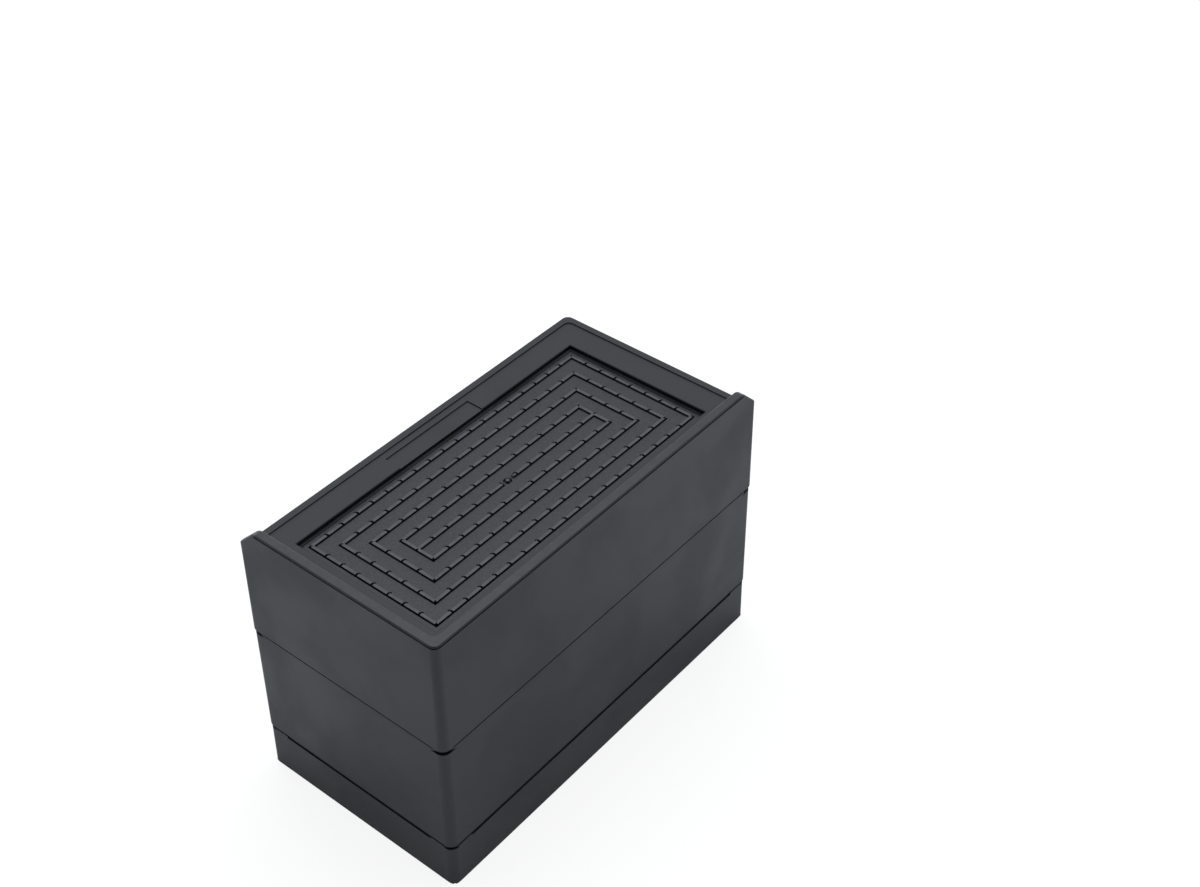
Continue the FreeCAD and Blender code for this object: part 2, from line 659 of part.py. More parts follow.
def add_centre_ridge(body, half_run):
    """Middle ridge, broken round the gate mark, with a pointed end on the +X side of the break."""
    gap = "Sizes.grid_pitch / 2"
    left = add_sketch(body, "Centre_ridge_left_outline", TREAD_FLOOR)
    add_rectangle(left, "ridge", "-(%s)" % half_run, "-(%s)" % gap, "-%s" % HALF_RIDGE, HALF_RIDGE)
    add_pad(body, left, "Centre_ridge_left", "Sizes.ridge_height")
    right = add_sketch(body, "Centre_ridge_right_outline", TREAD_FLOOR)
    corners = [
        ("%s - Sizes.pointer_length" % gap, "0"),
        (gap, "-%s" % HALF_RIDGE),
        (half_run, "-%s" % HALF_RIDGE),
        (half_run, HALF_RIDGE),
        (gap, HALF_RIDGE),
    ]
    add_outline(right, "ridge", corners)
    add_pad(body, right, "Centre_ridge_right", "Sizes.ridge_height")
    add_gate(body, "Tread_gate", "-Sizes.gate_shift", TREAD_FLOOR, False)
    nub = add_sketch(body, "Tread_nub_outline", "%s - Sizes.gate_sink" % TREAD_FLOOR)
    add_circle(nub, "nub", "-Sizes.gate_shift", "0", "Sizes.nub_diameter")
    add_pad(body, nub, "Tread_nub", "Sizes.nub_height")


def build_tray():
    """Top tray: lip on two sides, low rim on the others, and the sunk tread between them."""
    body = add_body("Tray_moulding", "tray_before_slits", TRAY_FOOT)
    add_tapered_walls(body, LIP_TOP)
    add_lip(body)
    add_ramp(body, "Long_lip_ramp", "XZ_Plane", HALF_LENGTH, "Sizes.overall_width")
    ramp = add_ramp(body, "Short_lip_ramp", "YZ_Plane", HALF_WIDTH, "Sizes.overall_length")
    doc.recompute()
    crest = add_fillet(body, ramp, "Ramp_crests", slope_top_edges(ramp), "Sizes.ramp_radius")
    doc.recompute()
    add_fillet(body, crest, "Lip_edges", lip_and_rim_edges(crest), "Sizes.lip_edge_radius")
    add_recess(body)
    add_label_field(body)
    add_tread(body)
    add_cells(body, "Sizes.outer_wall", None, "%s - Sizes.tray_floor" % TREAD_FLOOR, upward=True)
    add_socket(body, "Tray_socket", "Sizes.outer_wall - Sizes.socket_bite", None, upward=True)
    tray = doc.addObject("Part::Cut", "Tray")
    tray.Label = "top_tray"
    tray.Base = body
    tray.Tool = add_slits()
    return tray


def check_document():
    """Stop if a feature failed, or if a pad or a pocket changed nothing."""
    doc.recompute()
    for item in doc.Objects:
        if "Invalid" in item.State or "Error" in item.State:
            raise RuntimeError("%s failed" % item.Name)
    for item in doc.Objects:
        if item.TypeId not in ("PartDesign::Pad", "PartDesign::Pocket") or not item.BaseFeature:
            continue
        change = item.Shape.Volume - item.BaseFeature.Shape.Volume
        grows = item.TypeId == "PartDesign::Pad"
        if (change > 0) != grows:
            raise RuntimeError("%s changed the volume by %.4f" % (item.Name, change))


def write_parts(bodies):
    """Write each moulding to its own file."""
    os.makedirs("parts", exist_ok=True)
    for body in bodies:
        shape = body.Shape
        if shape.isNull() or not shape.isValid() or len(shape.Solids) != 1:
            raise RuntimeError("%s isn't one valid solid" % body.Label)
    for body in bodies:
        body.Shape.exportStep("parts/%s.step" % body.Label)
        print("%s: %.1f cm3" % (body.Label, body.Shape.Volume / 1000.0))


mouldings = [build_base(), build_middle(), build_tray()]
check_document()
write_parts(mouldings)
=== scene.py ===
"""Looks of a block riser for a bed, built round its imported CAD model.

The riser is three stacked mouldings in black plastic: a base block, a middle block and a top tray
with a sunk, ridged tread and a lip on two sides. Each moulding here starts as a merged copy of its
CAD solid, and gets the fine edges, slits and finish that the moulded plastic shows.
"""

import json
import logging
import math
from collections.abc import Callable, Iterable
from dataclasses import dataclass, field
from enum import Enum

import bmesh
import bpy
from mathutils import Matrix, Vector

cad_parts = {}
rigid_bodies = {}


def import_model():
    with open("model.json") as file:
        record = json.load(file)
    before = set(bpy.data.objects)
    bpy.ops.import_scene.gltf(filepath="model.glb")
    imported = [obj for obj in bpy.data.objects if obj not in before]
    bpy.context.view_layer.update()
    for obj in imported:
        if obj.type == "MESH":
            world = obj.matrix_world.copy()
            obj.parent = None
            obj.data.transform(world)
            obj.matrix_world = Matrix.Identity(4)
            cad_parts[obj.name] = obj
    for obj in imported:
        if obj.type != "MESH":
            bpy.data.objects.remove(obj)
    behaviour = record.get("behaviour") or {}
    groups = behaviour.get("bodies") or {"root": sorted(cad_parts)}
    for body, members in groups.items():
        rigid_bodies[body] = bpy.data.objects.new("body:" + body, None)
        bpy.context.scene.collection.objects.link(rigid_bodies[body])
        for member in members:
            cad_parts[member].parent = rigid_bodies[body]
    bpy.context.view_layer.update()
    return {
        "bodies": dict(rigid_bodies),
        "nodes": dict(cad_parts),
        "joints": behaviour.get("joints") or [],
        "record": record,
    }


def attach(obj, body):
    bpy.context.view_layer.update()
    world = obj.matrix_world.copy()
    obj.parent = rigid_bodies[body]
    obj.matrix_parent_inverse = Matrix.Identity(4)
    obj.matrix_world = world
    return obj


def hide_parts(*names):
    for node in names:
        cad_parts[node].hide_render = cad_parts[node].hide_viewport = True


LOG = logging.getLogger("bed_riser")
MM = 0.001
# Face mark for the painted highlight on the ridge tops and the lip's edges.
PAINTED_HIGHLIGHT = "painted_highlight"
SPARKED = "sparked"
STUDIO_WHITE = "#f5f8fd"
IMAGE_SIZE = (1200, 887)
SENSOR_MM = 36.0

# Angles that tell flat, rounded and sharp apart.
FLAT_DEGREES = 0.3
SMOOTH_DEGREES = 35.0
SHARP_DEGREES = 40.0

# How far apart places may lie and still count as one, and how far cutters reach past a face.
MERGE_MM = 0.004
SLACK_MM = 0.02
PAST_MM = 0.1
CORNER_STEPS = 8

Area = tuple[float, float, float, float]


class Body(Enum):
    """The rigid bodies of the frame."""

    ROOT = "root"


class Slot(Enum):
    """The record's material slots."""

    TRAY = "tray_plastic"
    BLOCK = "block_plastic"


def linear(hex_colour: str) -> tuple[float, float, float, float]:
    """Turn an sRGB hex colour into linear values.

    Args:
        hex_colour: Colour written as "#rrggbb".

    Returns:
        Linear red, green, blue and an alpha of 1.
    """
    parts = [int(hex_colour[start : start + 2], 16) / 255.0 for start in (1, 3, 5)]
    red, green, blue = [
        part / 12.92 if part <= 0.04045 else ((part + 0.055) / 1.055) ** 2.4 for part in parts
    ]
    return red, green, blue, 1.0


def waves_per_metre(size_mm: float) -> float:
    """Noise scale whose features are about size_mm across."""
    return 1.0 / (size_mm * MM)


def add_node(
    tree: bpy.types.NodeTree,
    kind: str,
    settings: dict[str, object] | None = None,
    values: dict[str, object] | None = None,
    links: dict[str, bpy.types.NodeSocket] | None = None,
) -> bpy.types.Node:
    """Add a shader node with its settings, socket values and incoming links.

    Args:
        tree: Node tree that gets the node.
        kind: Node type, such as "ShaderNodeTexNoise".
        settings: Properties of the node itself.
        values: Default values of its input sockets, by socket name or number.
        links: Output sockets to join to its inputs, by socket name or number.

    Returns:
        The new node.
    """
    node = tree.nodes.new(kind)
    for name, value in (settings or {}).items():
        setattr(node, name, value)
    for name, value in (values or {}).items():
        node.inputs[name].default_value = value
    for name, source in (links or {}).items():
        tree.links.new(source, node.inputs[name])
    return node


@dataclass(frozen=True)
class MouldedPolypropylene:
    """Black polypropylene, injection moulded in a finely sparked steel mould.

    The spark finish gives a dull satin skin with a very fine grain. The plastic cools unevenly, which
    leaves soft cloudy patches, a little lighter and duller, a few centimetres across. The ridge tops and
    the top and inner edges of the lip get a painted highlight: a lighter colour, with a smoother finish.
    The floor of the tread is sparked more coarsely for grip, so that it looks finely speckled and a little
    paler.
    """

    name: str
    colour: str = "#1d1f22"
    cloud_colour: str = "#25272b"
    speck_colour: str = "#36383d"
    # Lighter colour of the painted highlight on the ridge tops and the lip's edges.
    highlight_colour: str = "#505257"
    roughness: float = 0.44
    roughness_change: float = 0.06
    highlight_roughness: float = 0.34
    grain_mm: float = 0.9
    grain_depth_mm: float = 0.02
    speck_mm: float = 0.8
    cloud_mm: float = 42.0
    # Size of the patches in the painted highlight.
    highlight_patch_mm: float = 5.0
    ior: float = 1.49

    def clouds(
        self, tree: bpy.types.NodeTree, place: bpy.types.NodeSocket
    ) -> bpy.types.NodeSocket:
        """Soft patches of uneven cooling.

        Args:
            tree: Node tree that gets the nodes.
            place: Object coordinates.

        Returns:
            A socket from 0 to 1.
        """
        noise = add_node(
            tree,
            "ShaderNodeTexNoise",
            values={
                "Scale": waves_per_metre(self.cloud_mm),
                "Detail": 3.0,
                "Roughness": 0.5,
                "Distortion": 0.4,
            },
            links={"Vector": place},
        )
        share = add_node(
            tree,
            "ShaderNodeMapRange",
            settings={"interpolation_type": "SMOOTHSTEP"},
            values={"From Min": 0.36, "From Max": 0.66},
            links={"Value": noise.outputs["Fac"]},
        )
        return share.outputs["Result"]

    def painted_highlight_share(self, tree: bpy.types.NodeTree, place: bpy.types.NodeSocket) -> bpy.types.NodeSocket:
        """Share of the painted highlight: patchy, on the marked faces only.

        Args:
            tree: Node tree that gets the nodes.
            place: Object coordinates.

        Returns:
            A socket from 0 to 1.
        """
        marked = add_node(tree, "ShaderNodeAttribute", settings={"attribute_name": PAINTED_HIGHLIGHT})
        patches = add_node(
            tree,
            "ShaderNodeTexNoise",
            values={"Scale": waves_per_metre(self.highlight_patch_mm), "Detail": 4.0, "Roughness": 0.65},
            links={"Vector": place},
        )
        patchy = add_node(
            tree,
            "ShaderNodeMapRange",
            values={"From Min": 0.3, "From Max": 0.6, "To Min": 0.45, "To Max": 1.0},
            links={"Value": patches.outputs["Fac"]},
        )
        painted_highlight = add_node(
            tree,
            "ShaderNodeMath",
            settings={"operation": "MULTIPLY"},
            links={0: marked.outputs["Fac"], 1: patchy.outputs["Result"]},
        )
        return painted_highlight.outputs["Value"]

    def grain(self, tree: bpy.types.NodeTree, place: bpy.types.NodeSocket) -> bpy.types.NodeSocket:
        """Height of the spark grain.

        Args:
            tree: Node tree that gets the nodes.
            place: Object coordinates.

        Returns:
            A socket from 0 to 1.
        """
        # The real grain is about 0.1 mm, too fine to show, so it is drawn several times coarser.
        noise = add_node(
            tree,
            "ShaderNodeTexNoise",
            values={"Scale": waves_per_metre(self.grain_mm), "Detail": 2.0, "Roughness": 0.6},
            links={"Vector": place},
        )
        return noise.outputs["Fac"]

    def specks(self, tree: bpy.types.NodeTree, place: bpy.types.NodeSocket) -> bpy.types.NodeSocket:
        """Pale specks of the coarse spark finish, on the faces marked as sparked only.

        Args:
            tree: Node tree that gets the nodes.
            place: Object coordinates.

        Returns:
            A socket from 0 to 1.
        """
        # Real pits are about 0.2 mm; drawn coarser, so that the specks are as large as the eye sees them.
        noise = add_node(
            tree,
            "ShaderNodeTexNoise",
            values={"Scale": waves_per_metre(self.speck_mm), "Detail": 2.0, "Roughness": 0.7},
            links={"Vector": place},
        )
        share = add_node(
            tree,
            "ShaderNodeMapRange",
            values={"From Min": 0.38, "From Max": 0.68},
            links={"Value": noise.outputs["Fac"]},
        )
        marked = add_node(tree, "ShaderNodeAttribute", settings={"attribute_name": SPARKED})
        specks = add_node(
            tree,
            "ShaderNodeMath",
            settings={"operation": "MULTIPLY"},
            links={0: marked.outputs["Fac"], 1: share.outputs["Result"]},
        )
        return specks.outputs["Value"]

    def build(self) -> bpy.types.Material:
        """Make the material.

        Returns:
            A node material that reads Object coordinates and the marks of painted highlight and sparked
            faces.
        """
        material = bpy.data.materials.new(self.name)
        material.use_nodes = True
        tree = material.node_tree
        tree.nodes.clear()
        place = add_node(tree, "ShaderNodeTexCoord").outputs["Object"]
        clouds = self.clouds(tree, place)
        painted_highlight = self.painted_highlight_share(tree, place)
        grain = self.grain(tree, place)
        skin = add_node(
            tree,
            "ShaderNodeMix",
            settings={"data_type": "RGBA"},
            values={6: linear(self.colour), 7: linear(self.cloud_colour)},
            links={0: clouds},
        )
        speckled = add_node(
            tree,
            "ShaderNodeMix",
            settings={"data_type": "RGBA"},
            values={7: linear(self.speck_colour)},
            links={0: self.specks(tree, place), 6: skin.outputs[2]},
        )
        # Painted highlight: the marked faces get a lighter colour.
        colour = add_node(
            tree,
            "ShaderNodeMix",
            settings={"data_type": "RGBA"},
            values={7: linear(self.highlight_colour)},
            links={0: painted_highlight, 6: speckled.outputs[2]},
        )
        dull = add_node(
            tree,
            "ShaderNodeMapRange",
            values={
                "To Min": self.roughness - self.roughness_change,
                "To Max": self.roughness + self.roughness_change,
            },
            links={"Value": clouds},
        )
        roughness = add_node(
            tree,
            "ShaderNodeMix",
            values={3: self.highlight_roughness},
            links={0: painted_highlight, 2: dull.outputs["Result"]},
        )
        bump = add_node(
            tree,
            "ShaderNodeBump",
            values={"Strength": 0.6, "Distance": self.grain_depth_mm * MM},
            links={"Height": grain},
        )
        plastic = add_node(
            tree,
            "ShaderNodeBsdfPrincipled",
            values={"Metallic": 0.0, "IOR": self.ior},
            links={
                "Base Color": colour.outputs[2],
                "Roughness": roughness.outputs[0],
                "Normal": bump.outputs["Normal"],
            },
        )
        add_node(tree, "ShaderNodeOutputMaterial", links={"Surface": plastic.outputs["BSDF"]})
        return material


@dataclass(frozen=True)
class PaleFloor:
    """White paper on the studio floor, white to the camera, that keeps the riser's soft shadow.

    Plastic, metal and glass see it about as white, with the shadow that it really has.
    """

    name: str = "pale_floor"
    colour: str = "#f3f4f6"
    camera_glow: float = 0.84
    camera_share: float = 0.3
    mirror_glow: float = 0.06

    def build(self) -> bpy.types.Material:
        """Make the material.

        Returns:
            A white diffuse material, with a glow that only camera, glossy and glass rays see.
        """
        material = bpy.data.materials.new(self.name)
        material.use_nodes = True
        tree = material.node_tree
        tree.nodes.clear()
        path = add_node(tree, "ShaderNodeLightPath")
        paper = add_node(tree, "ShaderNodeBsdfDiffuse", values={"Color": linear(self.colour)})
        shade = linear(self.colour)[0] * self.camera_share
        dim = add_node(tree, "ShaderNodeBsdfDiffuse", values={"Color": (shade, shade, shade, 1.0)})
        camera_glow = add_node(tree, "ShaderNodeEmission", values={"Strength": self.camera_glow})
        bright = add_node(
            tree,
            "ShaderNodeAddShader",
            links={0: dim.outputs["BSDF"], 1: camera_glow.outputs["Emission"]},
        )
        mirror_glow = add_node(tree, "ShaderNodeEmission", values={"Strength": self.mirror_glow})
        mirrored = add_node(
            tree,
            "ShaderNodeAddShader",
            links={0: paper.outputs["BSDF"], 1: mirror_glow.outputs["Emission"]},
        )
        in_mirror = add_node(
            tree,
            "ShaderNodeMath",
            settings={"operation": "MAXIMUM"},
            links={0: path.outputs["Is Glossy Ray"], 1: path.outputs["Is Transmission Ray"]},
        )
        unseen = add_node(
            tree,
            "ShaderNodeMixShader",
            links={
                0: in_mirror.outputs["Value"],
                1: paper.outputs["BSDF"],
                2: mirrored.outputs["Shader"],
            },
        )
        floor = add_node(
            tree,
            "ShaderNodeMixShader",
            links={
                0: path.outputs["Is Camera Ray"],
                1: unseen.outputs["Shader"],
                2: bright.outputs["Shader"],
            },
        )
        add_node(tree, "ShaderNodeOutputMaterial", links={"Surface": floor.outputs["Shader"]})
        return material


def deselect_all() -> None:
    """Leave no object selected."""
    for other in bpy.context.view_layer.objects:
        other.select_set(False)


class Workpiece:
    """A mesh on the bench: one object that edit mode works on."""

    cutter_margin = 9.0

    def __init__(self, piece: bpy.types.Object) -> None:
        """Take hold of an object.

        Args:
            piece: Mesh object to work on.
        """
        self.piece = piece

    @classmethod
    def from_node(cls, node: bpy.types.Object, name: str) -> "Workpiece":
        """Copy a CAD node and merge its loose triangles.

        Args:
            node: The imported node, which is left alone.
            name: Name of the new piece.

        Returns:
            The closed copy.
        """
        piece = bpy.data.objects.new(name, node.data.copy())
        bpy.context.scene.collection.objects.link(piece)
        piece.data.materials.clear()
        work = cls(piece)
        work.hold()
        if piece.data.has_custom_normals:
            bpy.ops.mesh.customdata_custom_splitnormals_clear()
        with work.editing():
            bpy.ops.mesh.select_all(action="SELECT")
            bpy.ops.mesh.remove_doubles(threshold=MERGE_MM * MM)
        return work

    def hold(self) -> None:
        """Make this object the only selected one, and the active one."""
        deselect_all()
        self.piece.select_set(True)
        bpy.context.view_layer.objects.active = self.piece

    def editing(self) -> "EditMode":
        """Enter edit mode for the length of a with block."""
        self.hold()
        return EditMode()

    def select_edges(self, wanted: Callable[[bmesh.types.BMEdge], bool]) -> int:
        """Select the edges of the mesh in edit mode that a test wants.

        Args:
            wanted: Test of one edge.

        Returns:
            How many edges are selected.
        """
        bpy.ops.mesh.select_mode(type="EDGE")
        bpy.ops.mesh.select_all(action="DESELECT")
        mesh = bmesh.from_edit_mesh(self.piece.data)
        count = 0
        for edge in mesh.edges:
            if wanted(edge):
                edge.select_set(True)
                count += 1
        bmesh.update_edit_mesh(self.piece.data)
        return count

    def apply(self, kind: str, name: str, settings: dict[str, object]) -> None:
        """Add a modifier and apply it.

        Args:
            kind: Modifier type.
            name: Modifier name.
            settings: Its properties.
        """
        self.hold()
        modifier = self.piece.modifiers.new(name, kind)
        for key, value in settings.items():
            setattr(modifier, key, value)
        bpy.ops.object.modifier_apply(modifier=name)

    def flatten(self) -> None:
        """Join the triangles of each flat face."""
        with self.editing():
            bpy.ops.mesh.select_all(action="SELECT")
            bpy.ops.mesh.dissolve_limited(angle_limit=math.radians(FLAT_DEGREES))

    def round_edges(
        self, wanted: Callable[[bmesh.types.BMEdge], bool], width_mm: float, steps: int
    ) -> None:
        """Bevel the edges that a test wants.

        Args:
            wanted: Test of one edge.
            width_mm: Width of the bevel.
            steps: Number of faces across it.
        """
        with self.editing():
            count = self.select_edges(wanted)
            if count:
                bpy.ops.mesh.bevel(
                    offset=width_mm * MM, segments=steps, affect="EDGES", clamp_overlap=True
                )
        LOG.info("%s: %d edges rounded", self.piece.name, count)

    def trim(self, heights: tuple[float, float], half: tuple[float, float], radius_mm: float) -> None:
        """Cut away all that lies outside a rounded rectangle, between two heights.

        Args:
            heights: Where the cut starts and ends, in millimetres above the floor.
            half: Half length and half width of the rounded rectangle.
            radius_mm: Radius of its corners.
        """
        low, high = heights
        wide = [side + self.cutter_margin for side in half]
        core = block((-half[0], half[0], -half[1], half[1]), low - 1.0, high + 1.0)
        Workpiece(core).round_edges(
            lambda edge: abs(edge.verts[0].co.z - edge.verts[1].co.z) > (high - low) * MM,
            radius_mm,
            CORNER_STEPS,
        )
        frame = Workpiece(block((-wide[0], wide[0], -wide[1], wide[1]), low, high))
        frame.apply("BOOLEAN", "core", {"operation": "DIFFERENCE", "solver": "EXACT", "object": core})
        self.apply("BOOLEAN", "trim", {"operation": "DIFFERENCE", "solver": "EXACT", "object": frame.piece})
        bpy.data.objects.remove(core)
        bpy.data.objects.remove(frame.piece)

    def select_corners(self, wanted: Callable[[Vector], bool]) -> int:
        """Select the vertices of the mesh in edit mode that a test wants.

        Args:
            wanted: Test of one place, in metres.

        Returns:
            How many vertices are selected.
        """
        bpy.ops.mesh.select_mode(type="VERT")
        bpy.ops.mesh.select_all(action="DESELECT")
        mesh = bmesh.from_edit_mesh(self.piece.data)
        count = 0
        for corner in mesh.verts:
            if wanted(corner.co):
                corner.select_set(True)
                count += 1
        bmesh.update_edit_mesh(self.piece.data)
        return count

    def lift(self, wanted: Callable[[Vector], bool], rise_mm: float) -> None:
        """Move the vertices that a test wants straight up, or down.

        Args:
            wanted: Test of one place.
            rise_mm: How far up.
        """
        with self.editing():
            count = self.select_corners(wanted)
            bpy.ops.transform.translate(value=(0.0, 0.0, rise_mm * MM))
        LOG.info("%s: %d corners moved by %.2f mm", self.piece.name, count, rise_mm)

    def spread(self, wanted: Callable[[Vector], bool], factors: tuple[float, float, float]) -> None:
        """Scale the vertices that a test wants about the middle of the riser.

        Args:
            wanted: Test of one place.
            factors: Scale along X, Y and Z.
        """
        with self.editing():
            self.select_corners(wanted)
            bpy.ops.transform.resize(value=factors, center_override=(0.0, 0.0, 0.0))

    def mark(self, name: str, amount: Callable[[bpy.types.MeshPolygon], float]) -> None:
        """Note a number on each face, for the plastic to read.

        Args:
            name: Name of the mark.
            amount: Gives a number from 0 to 1 for a face.
        """
        marks = self.piece.data.attributes.new(name, "FLOAT", "FACE")
        for face, mark in zip(self.piece.data.polygons, marks.data):
            mark.value = amount(face)

    def shade(self) -> None:
        """Smooth the rounded faces and keep the flat ones flat."""
        self.hold()
        bpy.ops.object.shade_smooth_by_angle(angle=math.radians(SMOOTH_DEGREES))
        self.apply("WEIGHTED_NORMAL", "flat_faces", {"keep_sharp": True, "weight": 80})


class EditMode:
    """Edit mode as a with block."""

    def __enter__(self) -> None:
        """Go into edit mode."""
        bpy.ops.object.mode_set(mode="EDIT")

    def __exit__(self, *_: object) -> None:
        """Leave edit mode."""
        bpy.ops.object.mode_set(mode="OBJECT")


def block(area: Area, low_mm: float, high_mm: float) -> bpy.types.Object:
    """Make a box.

    Args:
        area: Lowest x, highest x, lowest y and highest y, in millimetres.
        low_mm: Height of its bottom.
        high_mm: Height of its top.

    Returns:
        A mesh object at the origin.
    """
    left, right, front, back = area
    deselect_all()
    bpy.ops.mesh.primitive_cube_add(size=1.0, location=(0.0, 0.0, 0.0))
    box = bpy.context.active_object
    middle = Vector(((left + right) / 2.0, (front + back) / 2.0, (high_mm + low_mm) / 2.0))
    size = Vector((right - left, back - front, high_mm - low_mm))
    box.data.transform(Matrix.Translation(middle * MM) @ Matrix.Diagonal((*(size * MM), 1.0)))
    return box


def is_sharp(edge: bmesh.types.BMEdge) -> bool:
    """True for a sharp outside edge."""
    if len(edge.link_faces) != 2:
        return False
    return edge.calc_face_angle_signed(0.0) > math.radians(SHARP_DEGREES)


def at_level(place: Vector, height_mm: float, slack_mm: float = SLACK_MM) -> bool:
    """True for a place at some height above the floor."""
    return abs(place.z - height_mm * MM) < slack_mm * MM


def at_height(edge: bmesh.types.BMEdge, height_mm: float) -> bool:
    """True for an edge that lies at some height above the floor."""
    return all(at_level(corner.co, height_mm) for corner in edge.verts)


@dataclass
class Footprint:
    """Outer sizes that the three mouldings share, in millimetres."""

    half_length: float = 120.0
    half_width: float = 64.0
    wall: float = 2.0

    def outside(self, place: Vector) -> bool:
        """True for a place on the outer faces of the walls."""
        return (
            abs(place.x) > (self.half_length - self.wall) * MM
            or abs(place.y) > (self.half_width - self.wall) * MM
        )

    def on_outside(self, edge: bmesh.types.BMEdge) -> bool:
        """True for an edge that runs round the outside of the walls."""
        return all(self.outside(corner.co) for corner in edge.verts)


@dataclass(frozen=True)
class Seam:
    """A notch round the top of a moulding, wider round its corners, in millimetres."""

    low: float
    depth: float
    corner_low: float
    corner_round: float
    inner_round: float = 3.0

    def cut(self, work: Workpiece, top: float, half: tuple[float, float]) -> None:
        """Cut the notch, so that the seam above it shows as a dark line.

        Args:
            work: The moulding.
            top: Height of its top.
            half: Half length and half width of its top.
        """
        inner = (half[0] - self.depth, half[1] - self.depth)
        work.trim((self.low, top + PAST_MM), inner, self.inner_round)
        work.trim((self.corner_low, top + PAST_MM), half, self.corner_round)


@dataclass
class BaseBlock:
    """The low moulding on the floor."""

    footprint: Footprint = field(default_factory=Footprint)
    height: float = 28.0
    rebate_floor: float = 26.8
    rebate_drop: float = 1.3
    seam: Seam = Seam(low=26.7, depth=1.8, corner_low=25.9, corner_round=8.0)
    foot_chamfer: float = 1.2
    foot_edge: float = 0.25

    def sharpen_foot(self, work: Workpiece) -> None:
        """Bring the wide chamfer of the solid's foot down to the fine edge of the real one.

        Args:
            work: The base.
        """
        edge = self.foot_edge * MM
        work.lift(
            lambda place: at_level(place, self.foot_chamfer, 0.3) and self.footprint.outside(place),
            self.foot_edge - self.foot_chamfer,
        )
        half = Vector((self.footprint.half_length * MM, self.footprint.half_width * MM))
        grown = (
            (half.x - edge) / (half.x - self.foot_chamfer * MM),
            (half.y - edge) / (half.y - self.foot_chamfer * MM),
            1.0,
        )
        work.spread(lambda place: at_level(place, 0.0, 0.01) and self.footprint.outside(place), grown)

    def build(self, node: bpy.types.Object) -> bpy.types.Object:
        """Finish the base block.

        Args:
            node: Its CAD node.

        Returns:
            The finished piece.
        """
        work = Workpiece.from_node(node, "base_moulding")
        work.flatten()
        self.sharpen_foot(work)
        work.lift(
            lambda place: at_level(place, self.rebate_floor) and self.footprint.outside(place),
            -self.rebate_drop,
        )
        self.seam.cut(work, self.height, (self.footprint.half_length, self.footprint.half_width))
        work.shade()
        return work.piece


@dataclass
class MiddleBlock:
    """The tall plain moulding between the two seams."""

    footprint: Footprint = field(default_factory=Footprint)
    foot: float = 28.0
    top: float = 97.0
    draft_degrees: float = 0.6
    top_spread: float = 0.35
    edge_width: float = 0.45
    edge_steps: int = 3
    seam: Seam = Seam(low=96.0, depth=1.4, corner_low=94.4, corner_round=9.0)

    def open_seam(self, work: Workpiece) -> None:
        """Spread the top a little, and notch it.

        Args:
            work: The middle block.
        """
        lean = (self.top - self.foot) * math.tan(math.radians(self.draft_degrees))
        solid = (self.footprint.half_length - lean, self.footprint.half_width - lean)
        half = (solid[0] + self.top_spread, solid[1] + self.top_spread)
        work.spread(
            lambda place: at_level(place, self.top) and self.footprint.outside(place),
            (half[0] / solid[0], half[1] / solid[1], 1.0),
        )
        self.seam.cut(work, self.top, half)

    def build(self, node: bpy.types.Object) -> bpy.types.Object:
        """Finish the middle block.

        Args:
            node: Its CAD node.

        Returns:
            The finished piece.
        """
        work = Workpiece.from_node(node, "middle_moulding")
        work.flatten()
        self.open_seam(work)
        work.round_edges(
            lambda edge: is_sharp(edge) and at_height(edge, self.foot) and self.footprint.on_outside(edge),
            self.edge_width,
            self.edge_steps,
        )
        work.shade()
        return work.piece


